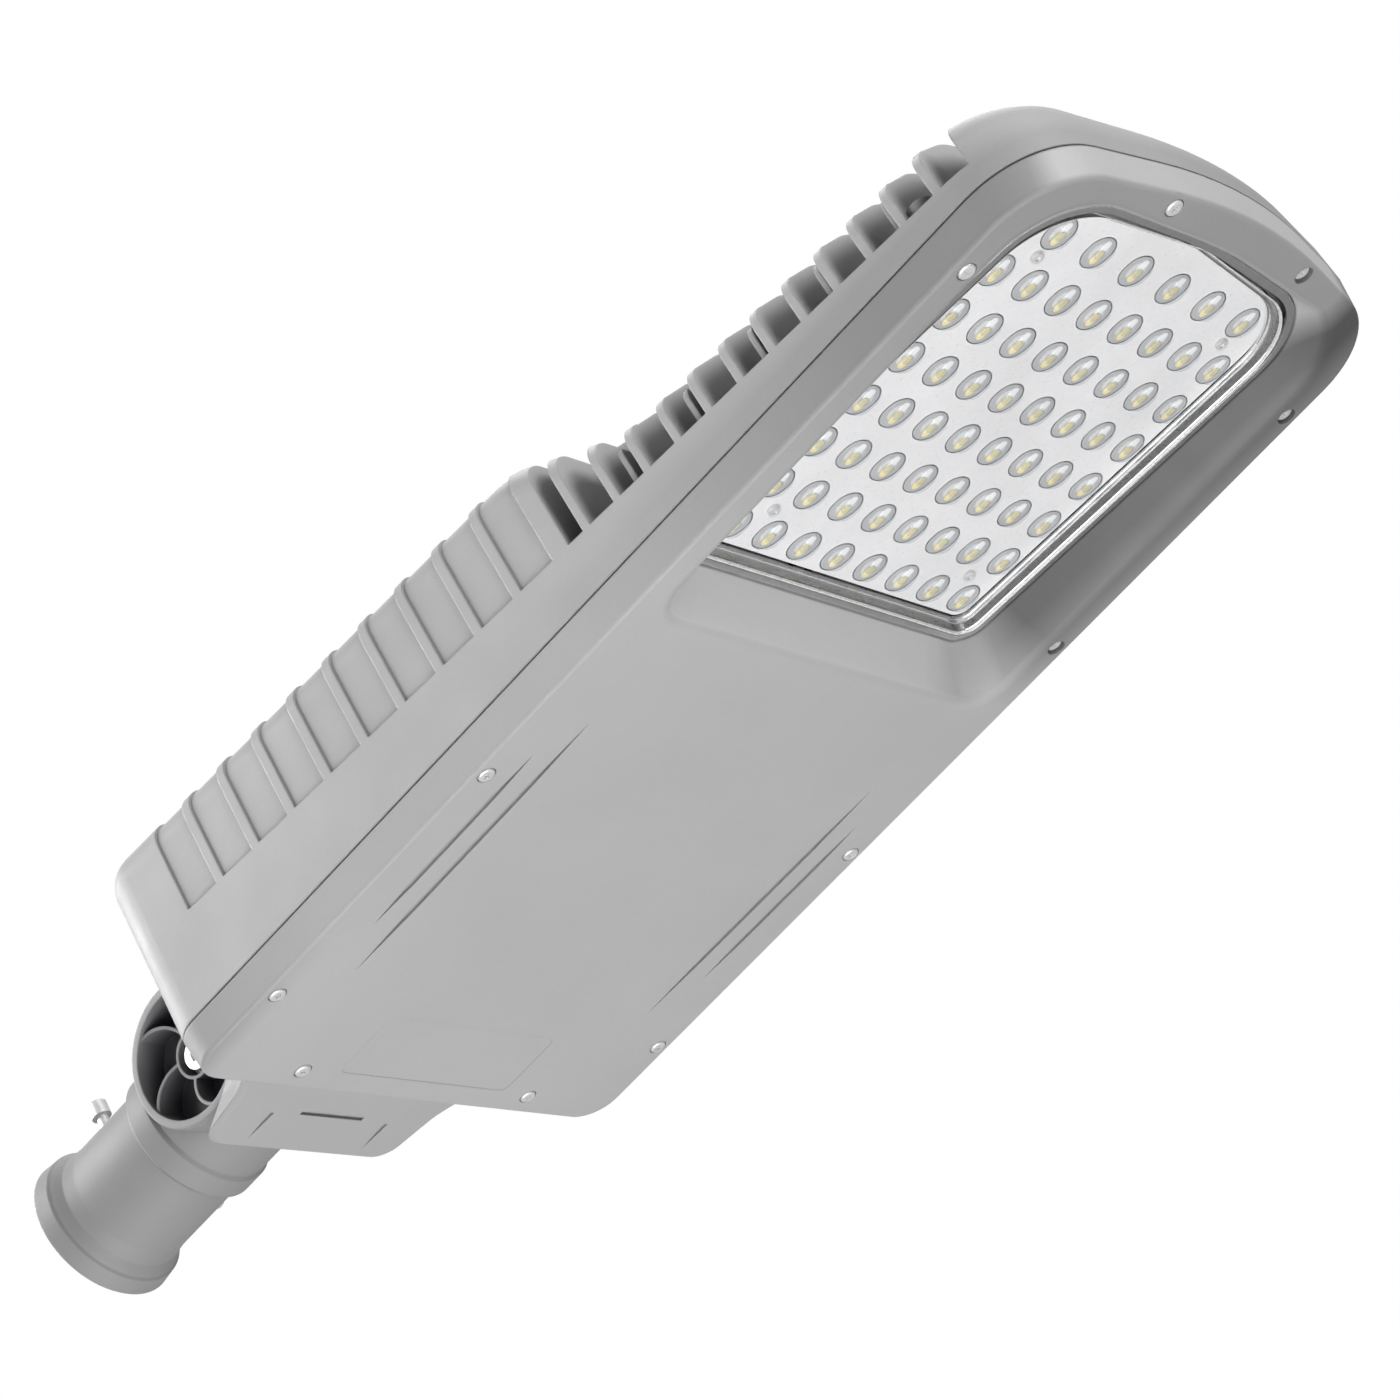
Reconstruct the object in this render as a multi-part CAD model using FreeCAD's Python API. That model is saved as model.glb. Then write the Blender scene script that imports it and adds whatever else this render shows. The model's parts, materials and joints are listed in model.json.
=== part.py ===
"""Solar street lamp head: cast finned housing, bottom cover with a recessed LED window,
battery and charge controller inside, and a tilting pole socket behind it.

Row frame: millimetres, +Z up, +X from the pole towards the tip of the lamp.
The origin is the centre of the pole socket's mouth, with the socket's axis along X.
Head frame: origin at the middle of the lamp body's lower back edge; head_place() moves it.
Module frame: flat LED module, origin at the back LED row; module_place() tilts and moves it.
"""
import FreeCAD, Part
import math
import os

os.makedirs("parts", exist_ok=True)
V = FreeCAD.Vector
X_AXIS, Y_AXIS, Z_AXIS = V(1, 0, 0), V(0, 1, 0), V(0, 0, 1)

# ---- pole socket and knuckle (row frame) ----
POLE_BORE_R = 30.5          # takes a 60 mm pole or arm
SOCKET_R = 33.5
SOCKET_DEPTH = 72.0
MOUTH_BAND_R, MOUTH_BAND_LEN = 39.5, 10.5
BEAD_R, BEAD_LEN = 37.4, 3.0
COLLAR_X, COLLAR_LEN, COLLAR_R = 74.0, 12.0, 37.0
NECK_R = 35.5
PIVOT = V(124.5, 0, 5.5)
BARREL_R, BARREL_HALF = 36.0, 41.5
TONGUE_R, TONGUE_HALF = 33.0, 12.5
JOINT_GAP = 0.5
RIM_WALL, RIM_LIP = 4.4, 1.5
VANE_COUNT, VANE_WALL, VANE_DEPTH, VANE_START = 5, 1.6, 17.0, 97.0
HUB_R, HUB_CUP_R, HUB_DEPTH, HUB_FLOOR_Y = 12.2, 10.6, 6.5, 26.0
BOLT_R, BOLT_HOLE_R = 5.0, 5.05
CLAMP_X, CLAMP_SHANK_R, CLAMP_HEAD_R, CLAMP_HEAD_H, CLAMP_SCREW_LEN = 29.0, 3.0, 5.0, 7.5, 23.0

# ---- lamp body (head frame) ----
HEAD_X, HEAD_Z = 192.5, -73.0
BODY_HALF_BACK, BODY_TAPER = 133.6, 0.0124
COVER_HEIGHT, SEAM_GAP = 16.0, 1.0
COVER_WALL, HOUSING_WALL = 3.0, 3.5
FRONT_X, FRONT_BULGE, FRONT_TIP_R = 534.0, 22.0, 320.0
FRONT_CORNER_R, BACK_CORNER_R = 42.0, 18.0
BAND_Z, BAND_SLOPE = 61.1, 0.0658
ROOF_BACK_Z, ROOF_STEP_X, ROOF_STEP_Z = 112.5, 275.0, 98.2
DECK_X, DECK_Z, NOSE_X, NOSE_Z, NOSE_END_X, NOSE_END_Z = 330.0, 67.0, 512.0, 54.0, 594.0, 26.5
ROOF_EDGE_R = 16.0
CROWN_R, CROWN_RUN, CROWN_SLOPE = 72.0, 26.0, 33.5
CROWN_SINK, CROWN_NOSE_SINK, CROWN_FLOOR_Z = 0.1, 3.0, 30.0
# stations where the crown runs out: x, share of its slope, narrowing of each side
CROWN_NOSE = [(466.0, 1.0, 0.0), (480.0, 1.0, 0.0), (503.0, 0.88, 1.0), (520.0, 0.6, 12.0),
              (537.0, 0.15, 34.0)]
RIB_FIRST, RIB_PITCH, RIB_COUNT, RIB_WIDTH, RIB_RISE = 41.0, 24.0, 10, 5.0, 1.2
FIN_FIRST, FIN_PITCH, FIN_GAPS, FIN_GAP = 298.7, 17.87, 12, 14.0
SPINE_HALF = 16.0
HALF_RIB, HALF_RIB_TALL, HALF_RIB_DROP, HALF_RIB_START, HALF_RIB_DRIFT = 2.6, 20.0, 3.2, 6.8, 0.575

# ---- LED module (module frame) ----
LED_ROW8_X, LED_ROW8_Z, LED_TILT = 328.9, 27.2, 3.24
COL_PITCH, ROW_PITCH = 23.07, 25.07
TIP_ROW_PITCH = 1.2 * COL_PITCH
BOARD_BACK, BOARD_FRONT, BOARD_HALF = -11.0, 197.0, 91.5
LENS_PLATE, BOARD_THICK, PAD_THICK = 1.5, 1.6, 1.0
LENS_LONG, LENS_WIDE, LENS_TALL = 9.4, 8.2, 4.6
RIM_BACK, RIM_FRONT, RIM_HALF, RIM_DROP = -18.0, 202.5, 98.5, 7.0

# ---- ramp of the cover round the window (head frame) ----
RAMP_BACK, RAMP_FRONT, RAMP_HALF = 293.4, 535.5, 114.5
RAMP_EASE = [(-0.01, 3.6), (0.35, 1.7), (1.1, 0.2), (2.4, -1.4)]     # height and growth of its softened edge
DECOR_GROOVES = [(76.4, 234.6, 96.5), (105.0, 212.0, 109.6)]
GROOVE_HALF, GROOVE_DEPTH = 1.2, 1.2

# ---- battery and charge controller (head frame) ----
CELL_R, CELL_LEN, CELL_PITCH = 16.2, 70.0, 34.0
CELL_X0, CELL_Y0, CELL_ROWS, CELL_COLUMNS = 118.0, -85.0, 4, 6
CELL_Z = 12.5
PACK = (99.0, 239.0, 104.0)
PAD_START = 127.0
STRAP_XS, STRAP_FOOT_Y, STRAP_FOOT_Z = (135.0, 203.0), 116.5, 60.0
CTRL = (26.0, 86.0, 58.0, 66.0, 92.0)
CTRL_EARS = [(x, y) for x in (33.0, 79.0) for y in (-66.0, 66.0)]

# ---- rear wall (head frame) ----
WALL_OUT, WALL_IN, PAD_IN = -1.5, 2.0, 8.0
BRACKET_BOLTS = [(y, z) for y in (-38.0, 38.0) for z in (40.0, 92.0)]
GLAND_YZ, VENT_YZ = (95.0, 62.0), (-95.0, 62.0)
BRACKET_BACK, BRACKET_BOTTOM, BRACKET_WAIST_Z, BRACKET_TOP = -67.0, 22.0, 43.0, 106.0
BRACKET_FOOT, BRACKET_WAIST = (80.0, 64.5, 58.5), (76.0, 50.0, 42.0)     # half widths: wall, middle, back

# ---- fasteners ----
COVER_SCREWS = [(12.0, 73.5), (56.0, 125.0), (196.0, 123.5), (481.5, 119.5), (540.5, 50.0)]
EXTRA_COVER_SCREW = (336.0, 121.5)      # only on the +Y side
SCREW_HEAD_R, SCREW_SHANK_R, SCREW_HEAD_H = 3.9, 2.4, 2.6
SCREW_HEAD_Z, SUNK_HEAD_Z = -0.7, 1.6   # sunk ones: beside the window on the +Y side


# ---------------------------------------------------------------- helpers
def rounded_edges(points, radii, closed=True):
    """Lines and tangent arcs through the points; a radius of 0 leaves a sharp corner."""
    edges, starts, ends, middles = [], [], [], []
    count = len(points)
    for i, (corner, radius) in enumerate(zip(points, radii)):
        before, after = points[i - 1] - corner, points[(i + 1) % count] - corner
        before.normalize()
        after.normalize()
        half = math.acos(max(-1.0, min(1.0, before.dot(after)))) / 2
        reach = radius / math.tan(half) if radius else 0.0
        starts.append(corner + before * reach)
        ends.append(corner + after * reach)
        bisector = before + after
        if radius:
            bisector.normalize()
            bisector = bisector * (radius / math.sin(half) - radius)
        middles.append(corner + bisector if radius else corner)
    for i in range(count if closed else count - 1):
        if radii[i]:
            edges.append(Part.Arc(starts[i], middles[i], ends[i]).toShape())
        edges.append(Part.LineSegment(ends[i], starts[(i + 1) % count]).toShape())
    return edges


def rounded_wire(points, radii):
    return Part.Wire(rounded_edges(points, radii))


def prism(wire, direction):
    return Part.Face(wire).extrude(direction)


def loft(lower, upper):
    return Part.makeLoft([lower, upper], True, True)


def box(x0, x1, y0, y1, z0, z1):
    return Part.makeBox(x1 - x0, y1 - y0, z1 - z0, V(x0, y0, z0))


def rod(radius, start, end):
    axis = end - start
    return Part.makeCylinder(radius, axis.Length, start, axis)


def ring(outer, inner, start, end):
    return rod(outer, start, end).cut(rod(inner, start, end))


def x_rod(radius, x0, x1, y=0.0, z=0.0):
    return rod(radius, V(x0, y, z), V(x1, y, z))


def y_rod(radius, y0, y1, x, z):
    return rod(radius, V(x, y0, z), V(x, y1, z))


def z_rod(radius, z0, z1, x, y):
    return rod(radius, V(x, y, z0), V(x, y, z1))


def hexagon(across, start, end):
    """Hexagonal prism from start to end, across its flats."""
    axis = end - start
    corner_r = across / math.sqrt(3)
    side = V(0, 0, 1) if abs(axis.z) < abs(axis.x) + abs(axis.y) else V(1, 0, 0)
    points = [start + FreeCAD.Rotation(axis, 60 * k).multVec(side) * corner_r for k in range(6)]
    return prism(Part.makePolygon(points + points[:1]), axis)


def fuse(shapes):
    return shapes[0].multiFuse(shapes[1:]).removeSplitter()


def cut(shape, tools):
    return shape.cut(Part.makeCompound(tools))


def mirrored_y(shape):
    return shape.mirror(V(0, 0, 0), Y_AXIS)


def head_place(shape):
    moved = shape.copy()
    moved.translate(V(HEAD_X, 0, HEAD_Z))
    return moved


def module_to_head(shape):
    """Tilt the flat module so that it drops towards the tip, and set it at the back row."""
    moved = shape.copy()
    moved.rotate(V(0, 0, 0), Y_AXIS, LED_TILT)
    moved.translate(V(LED_ROW8_X, 0, LED_ROW8_Z))
    return moved


def lead(points, radius, bend):
    """Round lead along straight runs joined by arcs."""
    vectors = [V(*point) for point in points]
    edges = rounded_edges(vectors, [0.0] + [bend] * (len(points) - 2) + [0.0], closed=False)
    path = Part.Wire(edges)
    section = Part.Wire(Part.makeCircle(radius, vectors[0], vectors[1] - vectors[0]))
    return path.makePipeShell([section], True, False)


def export(name, shapes):
    """Write one node: a single solid, or a group of separate solids."""
    group = shapes if isinstance(shapes, list) else [shapes]
    pieces = [solid for shape in group for solid in shape.Solids]
    if not all(piece.isValid() for piece in pieces):
        print("INVALID", name)
    Part.makeCompound(pieces).exportStep(os.path.join("parts", name + ".step"))
    print(name, len(pieces), round(sum(piece.Volume for piece in pieces) / 1000.0, 2))


# ---------------------------------------------------------------- outlines
def body_half(x):
    return BODY_HALF_BACK - BODY_TAPER * x


def band_z(x):
    return BAND_Z - BAND_SLOPE * x


def body_outline(z, grow):
    """Plan outline of the lamp body at height z, grown outwards by grow."""
    half_back, half_front = body_half(0) + grow, body_half(FRONT_X) + grow
    front, tip = FRONT_X + grow, FRONT_X + FRONT_BULGE + grow
    back = -grow
    points = [V(back, -half_back, z), V(front, -half_front, z), V(tip, 0, z),
              V(front, half_front, z), V(back, half_back, z)]
    corner = FRONT_CORNER_R + grow
    back_corner = BACK_CORNER_R + grow
    return rounded_wire(points, [back_corner, corner, FRONT_TIP_R + grow, corner, back_corner])


def module_outline(z, back, front, half, back_r, front_r):
    """Outline of the window and its parts: square at the back, well rounded at the tip."""
    half_front = half - BODY_TAPER * (front - back)
    shoulder = front - 7.0
    points = [V(back, -half, z), V(shoulder, -half_front, z), V(front, 0, z),
              V(shoulder, half_front, z), V(back, half, z)]
    return rounded_wire(points, [back_r, front_r, 260.0, front_r, back_r])


def rim_outline(z, grow):
    return module_outline(z, RIM_BACK - grow, RIM_FRONT + grow, RIM_HALF + grow, 12.0 + grow, 38.0 + grow)


def board_outline(z, grow):
    return module_outline(z, BOARD_BACK - grow, BOARD_FRONT + grow, BOARD_HALF + grow, 7.0 + grow, 32.0 + grow)


def ramp_outline(z, grow):
    return module_outline(z, RAMP_BACK - grow, RAMP_FRONT + grow, RAMP_HALF + grow, 17.0 + grow, 42.0 + grow)


def roof_profile(drop, back, y):
    """Side outline of the housing, lowered by drop, starting at back."""
    points = [V(back, y, 0), V(back, y, ROOF_BACK_Z - drop), V(ROOF_STEP_X, y, ROOF_STEP_Z - drop),
              V(DECK_X, y, DECK_Z - drop), V(NOSE_X, y, NOSE_Z - drop), V(NOSE_END_X, y, NOSE_END_Z - drop),
              V(NOSE_END_X, y, 0)]
    return rounded_wire(points, [0, 0, 45.0, 60.0, 140.0, 0, 0])


def roof_z(x):
    """Height of the roof over the LED deck."""
    if x < NOSE_X:
        return DECK_Z - (DECK_Z - NOSE_Z) * (x - DECK_X) / (NOSE_X - DECK_X)
    return NOSE_Z - (NOSE_Z - NOSE_END_Z) * (x - NOSE_X) / (NOSE_END_X - NOSE_X)


def crown_section(x, share, narrowing, inset):
    """Cross-section of the vault at x: straight slopes from the rounded side edges, arcs, a flat middle."""
    lean = math.radians(CROWN_SLOPE) * share
    sink = CROWN_SINK + CROWN_NOSE_SINK * (1 - share)
    edge_y = body_half(x) + 1.5 - narrowing - ROOF_EDGE_R + (ROOF_EDGE_R - inset) * math.sin(lean)
    edge_z = roof_z(x) - ROOF_EDGE_R - sink + (ROOF_EDGE_R - inset) * math.cos(lean)
    foot = V(x, edge_y, edge_z)
    shoulder = foot + V(0, -CROWN_RUN * math.cos(lean), CROWN_RUN * math.sin(lean)) * share
    radius = CROWN_R - inset
    middle = shoulder - V(0, radius * math.sin(lean), radius * math.cos(lean))
    half_way = middle + V(0, radius * math.sin(lean / 2), radius * math.cos(lean / 2))
    top = middle + V(0, 0, radius)
    right = [foot, shoulder, half_way, top]
    left = [V(x, -point.y, point.z) for point in right]
    low_left, low_right = V(x, -foot.y, CROWN_FLOOR_Z), V(x, foot.y, CROWN_FLOOR_Z)
    return Part.Wire([Part.makeLine(left[0], left[1]), Part.Arc(*left[1:]).toShape(),
                      Part.makeLine(left[3], right[3]), Part.Arc(right[3], right[2], right[1]).toShape(),
                      Part.makeLine(right[1], right[0]), Part.makeLine(right[0], low_right),
                      Part.makeLine(low_right, low_left), Part.makeLine(low_left, left[0])])


def crown(inset):
    """Low vault over the LED deck, tangent to the rounded side edges and running out at the nose."""
    steady_end = CROWN_NOSE[1][0]
    steady = loft(crown_section(ROOF_STEP_X - 13, 1.0, 0.0, inset), crown_section(steady_end, 1.0, 0.0, inset))
    nose = Part.makeLoft([crown_section(*station, inset) for station in CROWN_NOSE], True, False)
    return steady.fuse(nose)


def housing_block(inset, edge_r):
    """Solid with the outer shape of the upper housing, shrunk by inset all round."""
    base_z = COVER_HEIGHT + SEAM_GAP
    plan = prism(body_outline(base_z, 1.5 - inset), V(0, 0, 120))
    side = prism(roof_profile(inset, -10, -200), V(0, 400, 0))
    block = plan.common(side)
    rim = [edge for edge in block.Edges if edge.BoundBox.ZMin > base_z + 8]
    rim = [edge for edge in rim if not (edge.BoundBox.YLength > 150 and 30 < edge.BoundBox.XMin
                                        and edge.BoundBox.XMax < FRONT_X)]
    return block.makeFillet(edge_r, rim).fuse(crown(inset)).removeSplitter()


def above_band(x0, x1, y0, y1):
    """Space between two X stations, from the band's top edge upwards."""
    points = [V(x0, y0, band_z(x0)), V(x1, y0, band_z(x1)), V(x1, y0, 130), V(x0, y0, 130)]
    return prism(Part.makePolygon(points + points[:1]), V(0, y1 - y0, 0))


def cover_screw_places():
    places = [(x, side * y) for x, y in COVER_SCREWS for side in (-1, 1)]
    return places + [EXTRA_COVER_SCREW]


def screw_head_z(x, y):
    """Height of a cover screw's face: nearly flush, but sunk beside the window on the +Y side."""
    return SUNK_HEAD_Z if y > 0 and x > ROOF_STEP_X else SCREW_HEAD_Z


def board_screw_places():
    return [(x, y) for x in (0.5 * ROW_PITCH, 6.5 * ROW_PITCH) for y in (-3 * COL_PITCH, 3 * COL_PITCH)]


def led_places():
    """Seven rows of eight, and a wider spaced row of six at the tip."""
    places = [(row * ROW_PITCH, (column - 3.5) * COL_PITCH) for row in range(7) for column in range(8)]
    return places + [(7 * ROW_PITCH, (column - 2.5) * TIP_ROW_PITCH) for column in range(6)]


# ---------------------------------------------------------------- upper housing
def fin_gaps():
    """Open gaps between the cooling fins, on both sides of the middle spine."""
    starts = [(285.8, 8.7)] + [(FIN_FIRST + FIN_PITCH * k, FIN_GAP) for k in range(FIN_GAPS)]
    right = [above_band(x, x + width, SPINE_HALF, 160) for x, width in starts]
    return right + [mirrored_y(gap) for gap in right]


def half_ribs():
    """Lower, thinner ribs in every other fin gap, on a slightly wider pitch than the fins."""
    ribs = []
    for k in range(1, FIN_GAPS - 2, 2):
        x = FIN_FIRST + FIN_PITCH * k + HALF_RIB_START + HALF_RIB_DRIFT * (k - 1)
        floor = band_z(x) - 1.0
        ribs.append(box(x, x + HALF_RIB, 70.0, 150.0, floor, floor + HALF_RIB_TALL))
    return ribs + [mirrored_y(rib) for rib in ribs]


def rib_panels(block, skin):
    """Shallow panels between the ribs of the battery box, sunk as deep as the skin."""
    strips = []
    for k in range(RIB_COUNT):
        x = RIB_FIRST + RIB_PITCH * k
        strips.append(above_band(x, x + RIB_PITCH - RIB_WIDTH, -160, 160))
    return Part.makeCompound(strips).common(block).cut(skin)


def upper_housing():
    block = housing_block(0, ROOF_EDGE_R)
    skin = housing_block(RIB_RISE, ROOF_EDGE_R - RIB_RISE)
    ribs = Part.makeCompound(half_ribs()).common(housing_block(HALF_RIB_DROP, ROOF_EDGE_R - HALF_RIB_DROP))
    body = cut(block.cut(rib_panels(block, skin)), fin_gaps())
    battery_room = housing_block(HOUSING_WALL, ROOF_EDGE_R - 4).common(box(-5, 282, -140, 140, 0, 130))
    top_gap = LENS_PLATE + BOARD_THICK + PAD_THICK
    led_room = module_to_head(box(-26, 230, -130, 130, -60, top_gap))
    led_room = led_room.common(prism(body_outline(0, -6), V(0, 0, 60)))
    passage = box(270, 320, -30, 30, 0, 31.5)
    body = cut(body, [battery_room, led_room, passage])
    bosses = [z_rod(6.2, 17, 36, x, y) for x, y in cover_screw_places()]
    bosses += [z_rod(6.5, STRAP_FOOT_Z + 3, 110, x, side * STRAP_FOOT_Y) for x in STRAP_XS for side in (-1, 1)]
    bosses += [z_rod(5.5, CTRL[4], 115, x, y) for x, y in CTRL_EARS]
    bosses += [x_rod(10.0, WALL_OUT + 0.5, PAD_IN, y, z) for y, z in BRACKET_BOLTS]
    back_x, back_y = COVER_SCREWS[0]
    bosses += [box(-3, back_x, side * back_y - 2, side * back_y + 2, 17, 36) for side in (-1, 1)]
    bosses = [boss.common(skin) for boss in bosses]
    body = fuse([body] + bosses + ribs.Solids)
    holes = [z_rod(SCREW_SHANK_R + 0.05, 10, 31, x, y) for x, y in cover_screw_places()]
    holes += [z_rod(2.05, 50, 78, x, side * STRAP_FOOT_Y) for x in STRAP_XS for side in (-1, 1)]
    holes += [z_rod(2.05, 80, 103, x, y) for x, y in CTRL_EARS]
    holes += [x_rod(4.25, -5, 12, y, z) for y, z in BRACKET_BOLTS]
    holes += [x_rod(8.1, -5, 12, *GLAND_YZ), x_rod(5.1, -5, 12, *VENT_YZ)]
    holes += [module_to_head(z_rod(1.55, 0, 9.5, x, y)) for x, y in board_screw_places()]
    return cut(body, holes)


# ---------------------------------------------------------------- lower cover and its seals
def cover_tray():
    """Shallow tray with a rounded lower edge, open at the top."""
    solid = loft(body_outline(0, -0.8), body_outline(COVER_HEIGHT, 1.5))
    solid = solid.makeFillet(1.8, [edge for edge in solid.Edges if edge.BoundBox.ZMax < 0.1])
    room = loft(body_outline(COVER_WALL, -0.8 - COVER_WALL), body_outline(COVER_HEIGHT + 0.1, 1.5 - COVER_WALL))
    return solid.cut(room)


def tapered_groove(x0, x1, y, half, depth):
    """Groove with pointed ends in the cover's underside."""
    taper = 0.25 * (x1 - x0)
    points = [V(x0, y, -depth), V(x0 + taper, y - half, -depth), V(x1 - taper, y - half, -depth),
              V(x1, y, -depth), V(x1 - taper, y + half, -depth), V(x0 + taper, y + half, -depth)]
    return prism(Part.makePolygon(points + points[:1]), V(0, 0, 2 * depth))


def lower_cover():
    rim_z = -RIM_DROP - 0.5
    inner = module_to_head(rim_outline(rim_z, 1.9))
    outer_lip = loft(ramp_outline(0.6, COVER_WALL), module_to_head(rim_outline(rim_z, 4.6)))
    upstand = module_to_head(prism(rim_outline(rim_z - 1.0, 4.6), V(0, 0, 4.0)))
    ramp_space = Part.makeLoft([ramp_outline(z, grow) for z, grow in RAMP_EASE] + [inner], True, True)
    window = module_to_head(prism(rim_outline(rim_z - 0.2, 1.9), V(0, 0, 20)))
    posts = [z_rod(6.2, 1.0, COVER_HEIGHT, x, y) for x, y in cover_screw_places()]
    inside = prism(body_outline(0.5, -1.5), V(0, 0, 60))
    posts = [post.common(inside) for post in posts]
    body = fuse([cover_tray(), outer_lip, upstand.common(inside)] + posts)
    tools = [ramp_space, window]
    for x, y in cover_screw_places():
        seat_z = screw_head_z(x, y) + SCREW_HEAD_H
        tools += [z_rod(SCREW_HEAD_R + 0.35, -1, seat_z, x, y), z_rod(2.7, -1, 20, x, y)]
    for x0, x1, y in DECOR_GROOVES:
        tools += [tapered_groove(x0, x1, side * y, GROOVE_HALF, GROOVE_DEPTH) for side in (-1, 1)]
    label = [V(14.0, -53.0, -1), V(52.0, -53.0, -1), V(52.0, 55.0, -1), V(14.0, 55.0, -1)]
    tools.append(prism(rounded_wire(label, [4.0] * 4), V(0, 0, 1.15)))
    return cut(body, tools)


def housing_gasket():
    outer = prism(body_outline(COVER_HEIGHT, 0.3), V(0, 0, SEAM_GAP))
    return outer.cut(prism(body_outline(COVER_HEIGHT - 1, -1.3), V(0, 0, SEAM_GAP + 2)))


def pan_screw(x, y):
    """Cover screw with a domed head and a small cross recess."""
    face = screw_head_z(x, y)
    top = face + SCREW_HEAD_H
    head = z_rod(SCREW_HEAD_R, face, top, x, y)
    head = head.makeFillet(1.2, [edge for edge in head.Edges if edge.BoundBox.ZMax < face + 0.1])
    cross = [box(x - 1.6, x + 1.6, y - 0.4, y + 0.4, face - 1, face + 1.0),
             box(x - 0.4, x + 0.4, y - 1.6, y + 1.6, face - 1, face + 1.0)]
    return cut(fuse([head, z_rod(SCREW_SHANK_R, top - 0.5, 30, x, y)]), cross)


def plain_screw(start, direction, head_r, head_h, shank_r, shank_len):
    """Round-headed machine screw; start is the outer face of its head."""
    head_end = start + direction * head_h
    socket = hexagon(head_r * 0.9, start - direction, start + direction * head_h * 0.5)
    body = fuse([rod(head_r, start, head_end), rod(shank_r, head_end - direction * 0.2,
                                                   head_end + direction * shank_len)])
    return body.cut(socket)


# ---------------------------------------------------------------- LED module
def screw_holes(radius):
    return [z_rod(radius, -6, 12, x, y) for x, y in board_screw_places()]


def lens(x, y):
    """Long low dome, rounded at both ends, standing below the lens plate."""
    half = LENS_LONG - LENS_WIDE
    rise = LENS_WIDE - LENS_TALL
    parts = [x_rod(LENS_WIDE, x - half, x + half, y, rise),
             Part.makeSphere(LENS_WIDE, V(x - half, y, rise)), Part.makeSphere(LENS_WIDE, V(x + half, y, rise))]
    return parts[0].multiFuse(parts[1:]).common(box(x - 12, x + 12, y - 10, y + 10, -10, 0.7))


def lens_array():
    plate = prism(board_outline(0, -0.6), V(0, 0, LENS_PLATE))
    array = plate.multiFuse([lens(x, y) for x, y in led_places()])
    chip_rooms = [z_rod(2.6, -1.6, 3, x, y) for x, y in led_places()]
    return cut(array, chip_rooms + screw_holes(1.7))


def led_board():
    board = prism(board_outline(LENS_PLATE, 0), V(0, 0, BOARD_THICK))
    return cut(board, screw_holes(1.6))


def led_chips():
    return [box(x - 1.6, x + 1.6, y - 1.6, y + 1.6, LENS_PLATE - 0.7, LENS_PLATE) for x, y in led_places()]


def heat_pad():
    pad = prism(board_outline(LENS_PLATE + BOARD_THICK, -4), V(0, 0, PAD_THICK))
    return cut(pad, screw_holes(1.6))


def tray_wall():
    return loft(rim_outline(-RIM_DROP, 0), board_outline(0.4, 3.0))


def reflector_tray():
    """Sloping bright wall from the rim up to the board, with a rounded outer flange."""
    inside = loft(rim_outline(-RIM_DROP - 0.01, -2.2), board_outline(0.41, 0.8))
    flange = prism(rim_outline(-RIM_DROP, 1.5), V(0, 0, 1.8))
    flange = flange.makeFillet(0.8, [edge for edge in flange.Edges
                                     if edge.BoundBox.ZMax < 0.1 - RIM_DROP])
    return fuse([tray_wall(), flange]).cut(inside)


def tray_gasket():
    seal = prism(rim_outline(2.0 - RIM_DROP, 1.8), V(0, 0, 2.6))
    return seal.cut(prism(rim_outline(1.0 - RIM_DROP, 0.3), V(0, 0, 6)))


def board_screws():
    return [plain_screw(V(x, y, -1.8), Z_AXIS, 2.7, 1.7, 1.5, 9.0) for x, y in board_screw_places()]


# ---------------------------------------------------------------- battery and electronics
def cell_places():
    return [(CELL_X0 + CELL_PITCH * i, CELL_Y0 + CELL_PITCH * j)
            for i in range(CELL_ROWS) for j in range(CELL_COLUMNS)]


def battery_cells():
    cells = []
    for x, y in cell_places():
        can = z_rod(CELL_R, CELL_Z, CELL_Z + CELL_LEN - 1.5, x, y)
        cells.append(fuse([can, z_rod(6.0, CELL_Z + CELL_LEN - 2, CELL_Z + CELL_LEN, x, y)]))
    return cells


def cell_spacer(z):
    x0, x1, half = PACK
    plate = box(x0, x1, -half, half, z, z + 8)
    return cut(plate, [z_rod(CELL_R + 0.15, z - 1, z + 9, x, y) for x, y in cell_places()])


def cell_links():
    """Nickel strips that join the cells of each row, above and below."""
    links = []
    for i in range(CELL_ROWS):
        x = CELL_X0 + CELL_PITCH * i
        for z in (CELL_Z - 0.6, CELL_Z + CELL_LEN):
            links.append(box(x - 4, x + 4, -90, 90, z, z + 0.6))
    return links


def battery_straps():
    straps = []
    for x in STRAP_XS:
        bottom, half = 9.0, PACK[2] + 0.6
        foot_z = STRAP_FOOT_Z
        points = [(-half - 19, foot_z), (-half - 1.6, foot_z), (-half - 1.6, bottom), (half + 1.6, bottom),
                  (half + 1.6, foot_z), (half + 19, foot_z), (half + 19, foot_z + 1.6), (half, foot_z + 1.6),
                  (half, bottom + 1.6), (-half, bottom + 1.6), (-half, foot_z + 1.6),
                  (-half - 19, foot_z + 1.6)]
        wire = Part.makePolygon([V(x - 10, y, z) for y, z in points + points[:1]])
        strap = prism(wire, V(20, 0, 0))
        straps.append(cut(strap, [z_rod(2.3, 50, 70, x, side * STRAP_FOOT_Y) for side in (-1, 1)]))
    return straps


def strap_screws():
    return [plain_screw(V(x, side * STRAP_FOOT_Y, STRAP_FOOT_Z - 2.6), Z_AXIS, 4.0, 2.5, 2.0, 14)
            for x in STRAP_XS for side in (-1, 1)]


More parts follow.
